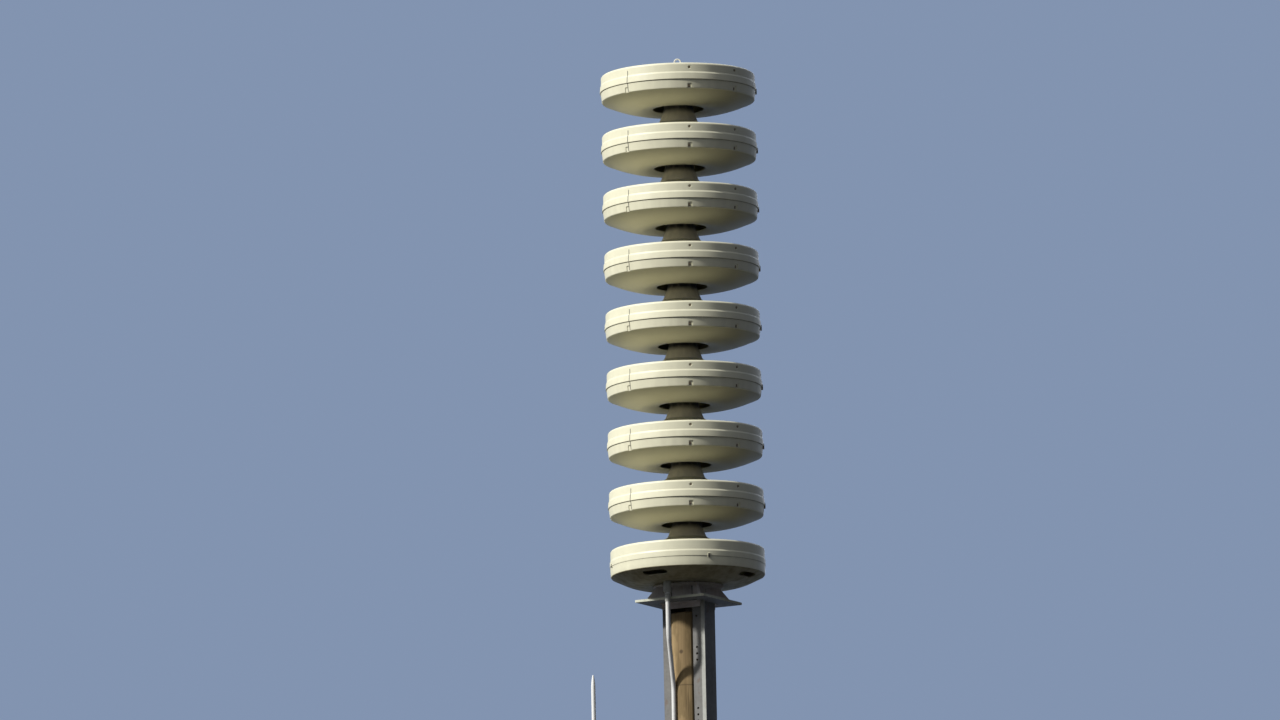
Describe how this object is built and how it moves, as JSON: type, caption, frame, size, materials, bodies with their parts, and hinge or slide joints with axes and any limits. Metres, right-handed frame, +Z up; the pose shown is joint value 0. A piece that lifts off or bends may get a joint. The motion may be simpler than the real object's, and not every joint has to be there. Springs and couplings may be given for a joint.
{
  "type": "civil defence siren tower",
  "caption": "Tall wood-pole warning siren: stacked round horn discs on a steel pole-top bracket, with conduit, whip antenna and pole-mounted cabinets.",
  "frame": {"origin": "centre of the pole's foot, at ground level", "axes": "+Z up the pole; +X and +Y along the sides of the square top plate, with the two channels on the +X and -X sides and the conduit and cabinets on the -Y side"},
  "size_m": [0.95, 0.917, 15.8465],
  "materials": {
    "cream_shell": "moulded glass-reinforced plastic, cream gel coat",
    "neck_shell": "moulded glass-reinforced plastic, weathered khaki",
    "galvanised_steel": "hot-dip galvanised, dull grey",
    "bright_zinc": "bright zinc plate",
    "treated_wood": "round pressure-treated pole with grain and checks",
    "cabinet_aluminium": "mill-finish sheet cabinet",
    "white_radome": "white glass-fibre whip"
  },
  "bodies": {
    "root": {"horn_1_cover": "cream_shell", "horn_1_bowl": "cream_shell", "horn_1_neck": "neck_shell", "horn_2_cover": "cream_shell", "horn_2_bowl": "cream_shell", "horn_2_neck": "neck_shell", "horn_3_cover": "cream_shell", "horn_3_bowl": "cream_shell", "horn_3_neck": "neck_shell", "horn_4_cover": "cream_shell", "horn_4_bowl": "cream_shell", "horn_4_neck": "neck_shell", "horn_5_cover": "cream_shell", "horn_5_bowl": "cream_shell", "horn_5_neck": "neck_shell", "horn_6_cover": "cream_shell", "horn_6_bowl": "cream_shell", "horn_6_neck": "neck_shell", "horn_7_cover": "cream_shell", "horn_7_bowl": "cream_shell", "horn_7_neck": "neck_shell", "horn_8_cover": "cream_shell", "horn_8_bowl": "cream_shell", "horn_8_neck": "neck_shell", "base_cover": "cream_shell", "base_pan": "cream_shell", "base_column": "galvanised_steel", "base_gussets": "galvanised_steel", "lifting_eye": "galvanised_steel", "top_plate": "galvanised_steel", "cross_angles": "galvanised_steel", "right_channel": "galvanised_steel", "left_channel": "galvanised_steel", "corner_angles": "bright_zinc", "through_bolts": "bright_zinc", "wood_pole": "treated_wood", "cabinet_rails": "galvanised_steel", "control_cabinet": "cabinet_aluminium", "control_door": "cabinet_aluminium", "battery_cabinet": "cabinet_aluminium", "battery_door": "cabinet_aluminium", "conduit": "bright_zinc", "conduit_fittings": "bright_zinc", "whip_antenna": "white_radome", "antenna_arm": "galvanised_steel"}
  },
  "joints": []
}
